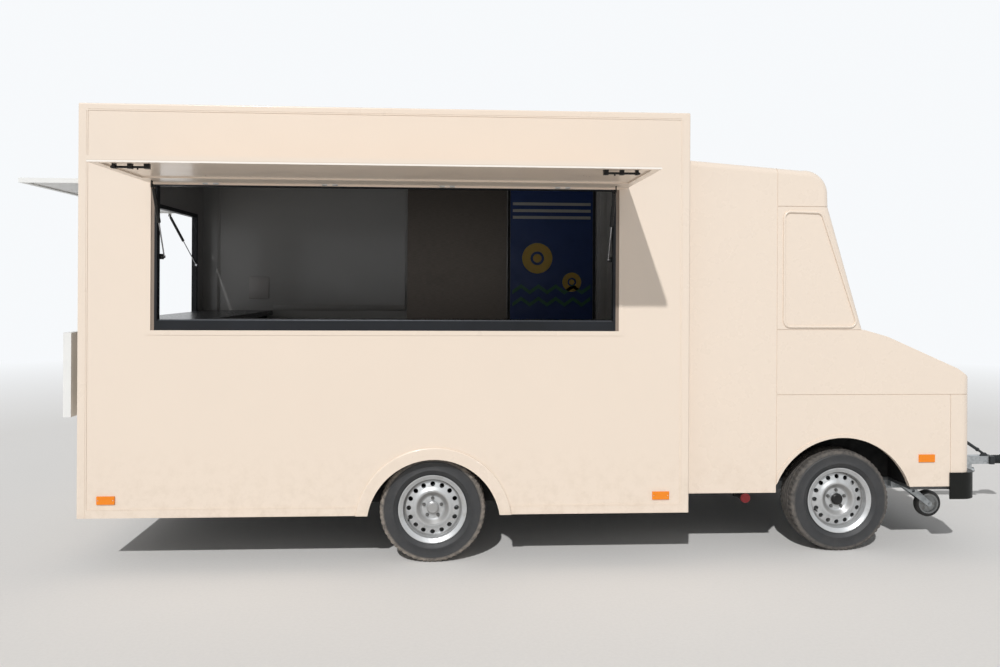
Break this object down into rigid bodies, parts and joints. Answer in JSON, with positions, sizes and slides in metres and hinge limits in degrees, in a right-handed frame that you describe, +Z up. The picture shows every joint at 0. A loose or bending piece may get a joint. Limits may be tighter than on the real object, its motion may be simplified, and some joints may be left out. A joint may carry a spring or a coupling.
{
  "type": "towed food truck",
  "caption": "Box-bodied towed food truck with a van-shaped front, side service hatch on gas struts, rear flaps, drawbar and four wheels.",
  "frame": {"origin": "on the ground under the middle of the overall box, hatch and drawbar included", "axes": "+X forward to the tow coupling, +Z up, the service hatch on the -Y side"},
  "size_m": [6.93, 3.259, 2.75],
  "materials": {
    "cream_panel": "gloss cream",
    "cream_grp": "gloss cream",
    "aluminium_trim": "satin",
    "dark_frame": "satin black",
    "galvanised": "dull zinc",
    "steel": "brushed",
    "black_steel": "black",
    "tyre": "matte",
    "rim": "silver",
    "black_plastic": "matte",
    "red_plastic": "gloss",
    "orange_lens": "gloss",
    "lamp_lens": "gloss",
    "red_lens": "gloss",
    "decor": "satin print",
    "grey_floor": "matte"
  },
  "bodies": {
    "trailer": {"arch_flares": "cream_grp", "bonnet": "cream_grp", "bumper": "black_plastic", "cab_cap": "cream_grp", "cab_floor": "grey_floor", "cab_hoop": "cream_grp", "cab_side_far": "cream_grp", "cab_side_near": "cream_grp", "chassis_frame": "galvanised", "corner_pillar": "cream_panel", "coupling_head": "black_steel", "dark_frames": "dark_frame", "drawbar": "galvanised", "edge_trims": "aluminium_trim", "far_wall": "cream_panel", "fenders": "cream_grp", "fixed_hinges": "steel", "floor_panel": "grey_floor", "front_axle": "galvanised", "front_wall": "cream_panel", "hand_brake": "black_steel", "jamb_pins": "steel", "jockey_bracket": "galvanised", "near_wall": "cream_panel", "nose_lamps": "lamp_lens", "nose_panel": "cream_grp", "rear_axle": "galvanised", "rear_lamps": "red_lens", "rear_wall": "cream_panel", "roof_panel": "cream_panel", "side_markers": "orange_lens", "steel_panel": "steel", "waste_cap": "red_plastic", "waste_pipe": "black_plastic", "wheel_boxes": "black_plastic", "windscreen_blank": "cream_grp", "worktop": "dark_frame"},
    "service_hatch_leaf": {"service_hatch": "cream_panel", "hatch_fittings": "steel"},
    "hatch_cylinder_pair": {"hatch_cylinders": "black_steel"},
    "hatch_rod_pair": {"hatch_rods": "steel"},
    "upper_flap": {"rear_upper_flap": "cream_panel"},
    "flap_cylinder": {"rear_cylinder": "black_steel"},
    "flap_rod": {"rear_rod": "steel"},
    "lower_flap": {"rear_lower_flap": "cream_panel"},
    "door": {"entry_door": "cream_panel", "door_handle": "black_plastic", "decorated_panel": "decor"},
    "jockey_fork": {"jockey_leg": "galvanised"},
    "jockey_roller": {"jockey_wheel": "black_plastic"},
    "wheel_rear_near": {"tyre_rear_near": "tyre", "rim_rear_near": "rim"},
    "wheel_rear_far": {"tyre_rear_far": "tyre", "rim_rear_far": "rim"},
    "wheel_front_near": {"tyre_front_near": "tyre", "rim_front_near": "rim"},
    "wheel_front_far": {"tyre_front_far": "tyre", "rim_front_far": "rim"}
  },
  "joints": [
    {"name": "spin_rear_near", "type": "hinge", "parent": "trailer", "child": "wheel_rear_near", "pos_m": [-1.01, -0.634, 0.323], "axis": [0, 1, 0], "continuous": true},
    {"name": "spin_rear_far", "type": "hinge", "parent": "trailer", "child": "wheel_rear_far", "pos_m": [-1.01, 1.469, 0.323], "axis": [0, 1, 0], "continuous": true},
    {"name": "spin_front_near", "type": "hinge", "parent": "trailer", "child": "wheel_front_near", "pos_m": [1.585, -0.52, 0.323], "axis": [0, 1, 0], "continuous": true},
    {"name": "spin_front_far", "type": "hinge", "parent": "trailer", "child": "wheel_front_far", "pos_m": [1.585, 1.355, 0.323], "axis": [0, 1, 0], "continuous": true},
    {"name": "hatch_swing", "type": "hinge", "parent": "trailer", "child": "service_hatch_leaf", "pos_m": [-1.279, -0.7915, 2.284], "axis": [1, 0, 0], "range_deg": [0, 90]},
    {"name": "hatch_cylinder_turn", "type": "hinge", "parent": "service_hatch_leaf", "child": "hatch_cylinder_pair", "pos_m": [-1.279, -0.8865, 2.254], "axis": [1, 0, 0], "range_deg": [-104.46, 0]},
    {"name": "hatch_rod_slide", "type": "slide", "parent": "hatch_cylinder_pair", "child": "hatch_rod_pair", "axis": [0, -0.4264, 0.9045], "range_m": [0, 0.10145]},
    {"name": "upper_flap_swing", "type": "hinge", "parent": "trailer", "child": "upper_flap", "pos_m": [-3.107, 0.3495, 2.284], "axis": [0, -1, 0], "range_deg": [0, 90]},
    {"name": "flap_cylinder_turn", "type": "hinge", "parent": "upper_flap", "child": "flap_cylinder", "pos_m": [-3.268, 1.3405, 2.26], "axis": [0, -1, 0], "range_deg": [-110.8, 0]},
    {"name": "flap_rod_slide", "type": "slide", "parent": "flap_cylinder", "child": "flap_rod", "axis": [-0.4709, 0, 0.8822], "range_m": [0, 0.19015]},
    {"name": "lower_flap_swing", "type": "hinge", "parent": "trailer", "child": "lower_flap", "pos_m": [-3.151, 0.3495, 1.405], "axis": [0, 1, 0], "range_deg": [0, 180]},
    {"name": "door_swing", "type": "hinge", "parent": "trailer", "child": "door", "pos_m": [0.369, 1.621, 1.44], "axis": [0, 0, -1], "range_deg": [0, 110]},
    {"name": "jockey_swing", "type": "hinge", "parent": "trailer", "child": "jockey_fork", "pos_m": [2.215, -0.1825, 0.345], "axis": [0, 1, 0], "range_deg": [0, 51.5]},
    {"name": "jockey_spin", "type": "hinge", "parent": "jockey_fork", "child": "jockey_roller", "pos_m": [2.41, -0.1825, 0.19], "axis": [0, 1, 0], "continuous": true}
  ],
  "couplings": [
    {"joint": "hatch_cylinder_turn", "follows": "hatch_swing", "ratio": -1.1595},
    {"joint": "hatch_rod_slide", "follows": "hatch_swing", "m_per_rad": 0.064522},
    {"joint": "flap_cylinder_turn", "follows": "upper_flap_swing", "ratio": -1.2299},
    {"joint": "flap_rod_slide", "follows": "upper_flap_swing", "m_per_rad": 0.12094}
  ]
}
